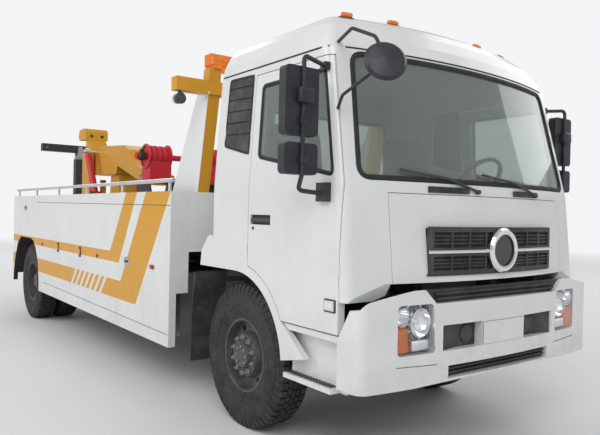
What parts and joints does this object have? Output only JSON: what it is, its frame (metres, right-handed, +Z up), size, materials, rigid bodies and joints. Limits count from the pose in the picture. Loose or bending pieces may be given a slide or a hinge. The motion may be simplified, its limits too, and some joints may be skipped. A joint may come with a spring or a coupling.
{
  "type": "tow truck",
  "caption": "Medium recovery truck with a cab over the front axle, locker body, lifting boom with winches and a folded rear underlift.",
  "frame": {"origin": "on the road under the middle of the truck's length and width", "axes": "the truck faces -Y, its left side is +X and +Z is up"},
  "size_m": [2.87, 8.7639, 2.825],
  "materials": {
    "body_white": "gloss",
    "stripe_yellow": "gloss",
    "frame_black": "satin",
    "deck_grey": "satin",
    "bright_steel": "satin",
    "winch_red": "gloss",
    "bright_chrome": "gloss",
    "rail_steel": "satin",
    "trim_plastic": "matte",
    "window_glass": "gloss",
    "lamp_clear": "gloss",
    "lamp_red": "gloss",
    "beacon_orange": "gloss",
    "seat_cloth": "matte",
    "engine_iron": "matte",
    "tank_grey": "satin",
    "wheel_grey": "satin",
    "tyre_rubber": "matte"
  },
  "bodies": {
    "truck": {"cab_shell": "body_white", "cab_roof": "body_white", "front_panel": "body_white", "bumper": "body_white", "fenders": "body_white", "body_sides": "body_white", "gantry": "body_white", "cab_floor": "frame_black", "deck_bearers": "frame_black", "boom_rest": "stripe_yellow", "underlift_mast": "stripe_yellow", "chassis_frame": "frame_black", "leaf_springs": "frame_black", "front_axle": "frame_black", "rear_axle": "frame_black", "deck": "deck_grey", "deck_mounts": "frame_black", "winches": "winch_red", "grille_ring": "bright_chrome", "cab_steps": "trim_plastic", "mudguards": "trim_plastic", "grilles": "trim_plastic", "quarter_vents": "trim_plastic", "dashboard": "trim_plastic", "front_mirror": "trim_plastic", "wipers": "trim_plastic", "work_lamps": "trim_plastic", "side_rails": "rail_steel", "cab_windows": "window_glass", "headlamps": "lamp_clear", "rear_lamps": "lamp_red", "beacon_bar": "beacon_orange", "seats": "seat_cloth", "engine": "engine_iron", "tanks": "tank_grey"},
    "left_door": {"door_left": "body_white", "door_glass_left": "window_glass", "mirror_left": "trim_plastic"},
    "right_door": {"door_right": "body_white", "door_glass_right": "window_glass", "mirror_right": "trim_plastic"},
    "left_knuckle": {"knuckle_left": "frame_black"},
    "right_knuckle": {"knuckle_right": "frame_black"},
    "left_front_wheel": {"front_wheel_left": "wheel_grey", "front_tyre_left": "tyre_rubber"},
    "right_front_wheel": {"front_wheel_right": "wheel_grey", "front_tyre_right": "tyre_rubber"},
    "left_rear_wheels": {"rear_wheels_left": "wheel_grey", "rear_tyres_left": "tyre_rubber"},
    "right_rear_wheels": {"rear_wheels_right": "wheel_grey", "rear_tyres_right": "tyre_rubber"},
    "main_boom": {"boom": "stripe_yellow"},
    "inner_boom": {"boom_extension": "stripe_yellow"},
    "ram_barrels": {"boom_ram_barrels": "winch_red"},
    "ram_rods": {"boom_ram_rods": "bright_chrome"},
    "lift_carriage": {"underlift_carriage": "frame_black"},
    "lift_arm": {"underlift_arm": "frame_black"},
    "inner_arm": {"underlift_extension": "bright_steel"},
    "lift_bar": {"crossbar": "frame_black"}
  },
  "joints": [
    {"name": "door_left_swing", "type": "hinge", "parent": "truck", "child": "left_door", "pos_m": [1.152, -4.111, 1.66], "axis": [0, 0, -1], "range_deg": [0, 65]},
    {"name": "door_right_swing", "type": "hinge", "parent": "truck", "child": "right_door", "pos_m": [-1.152, -4.111, 1.66], "axis": [0, 0, 1], "range_deg": [0, 65]},
    {"name": "steer_left", "type": "hinge", "parent": "truck", "child": "left_knuckle", "pos_m": [0.79, -2.925, 0.51], "axis": [0, 0, 1], "range_deg": [-35, 35]},
    {"name": "steer_right", "type": "hinge", "parent": "truck", "child": "right_knuckle", "pos_m": [-0.79, -2.925, 0.51], "axis": [0, 0, 1], "range_deg": [-35, 35]},
    {"name": "wheel_front_left", "type": "hinge", "parent": "left_knuckle", "child": "left_front_wheel", "pos_m": [0.915, -2.925, 0.51], "axis": [1, 0, 0], "continuous": true},
    {"name": "wheel_front_right", "type": "hinge", "parent": "right_knuckle", "child": "right_front_wheel", "pos_m": [-0.915, -2.925, 0.51], "axis": [1, 0, 0], "continuous": true},
    {"name": "wheels_rear_left", "type": "hinge", "parent": "truck", "child": "left_rear_wheels", "pos_m": [0.927, 2.395, 0.51], "axis": [1, 0, 0], "continuous": true},
    {"name": "wheels_rear_right", "type": "hinge", "parent": "truck", "child": "right_rear_wheels", "pos_m": [-0.927, 2.395, 0.51], "axis": [1, 0, 0], "continuous": true},
    {"name": "boom_lift", "type": "hinge", "parent": "truck", "child": "main_boom", "pos_m": [0, 0.935, 1.93], "axis": [1, 0, 0], "range_deg": [0, 22]},
    {"name": "boom_extend", "type": "slide", "parent": "main_boom", "child": "inner_boom", "axis": [0, 1, 0], "range_m": [0, 0.45]},
    {"name": "ram_swing", "type": "hinge", "parent": "truck", "child": "ram_barrels", "pos_m": [0, 2.375, 1.745], "axis": [1, 0, 0], "range_deg": [0, 30]},
    {"name": "ram_stroke", "type": "slide", "parent": "ram_barrels", "child": "ram_rods", "axis": [0, 0.5096, 0.8604], "range_m": [0, 0.56]},
    {"name": "underlift_lift", "type": "slide", "parent": "truck", "child": "lift_carriage", "axis": [0, 0, 1], "range_m": [-0.35, 0.15]},
    {"name": "underlift_fold", "type": "hinge", "parent": "lift_carriage", "child": "lift_arm", "pos_m": [0, 4.275, 0.75], "axis": [-1, 0, 0], "range_deg": [0, 90]},
    {"name": "underlift_extend", "type": "slide", "parent": "lift_arm", "child": "inner_arm", "axis": [0, 0, 1], "range_m": [0, 0.8]},
    {"name": "crossbar_swing", "type": "hinge", "parent": "inner_arm", "child": "lift_bar", "pos_m": [0, 4.275, 2.5525], "axis": [0, 1, 0], "range_deg": [-30, 30]}
  ],
  "couplings": [
    {"joint": "steer_right", "follows": "steer_left", "ratio": 1},
    {"joint": "ram_swing", "follows": "boom_lift", "ratio": 1.235},
    {"joint": "ram_stroke", "follows": "boom_lift", "m_per_rad": 1.4227}
  ]
}
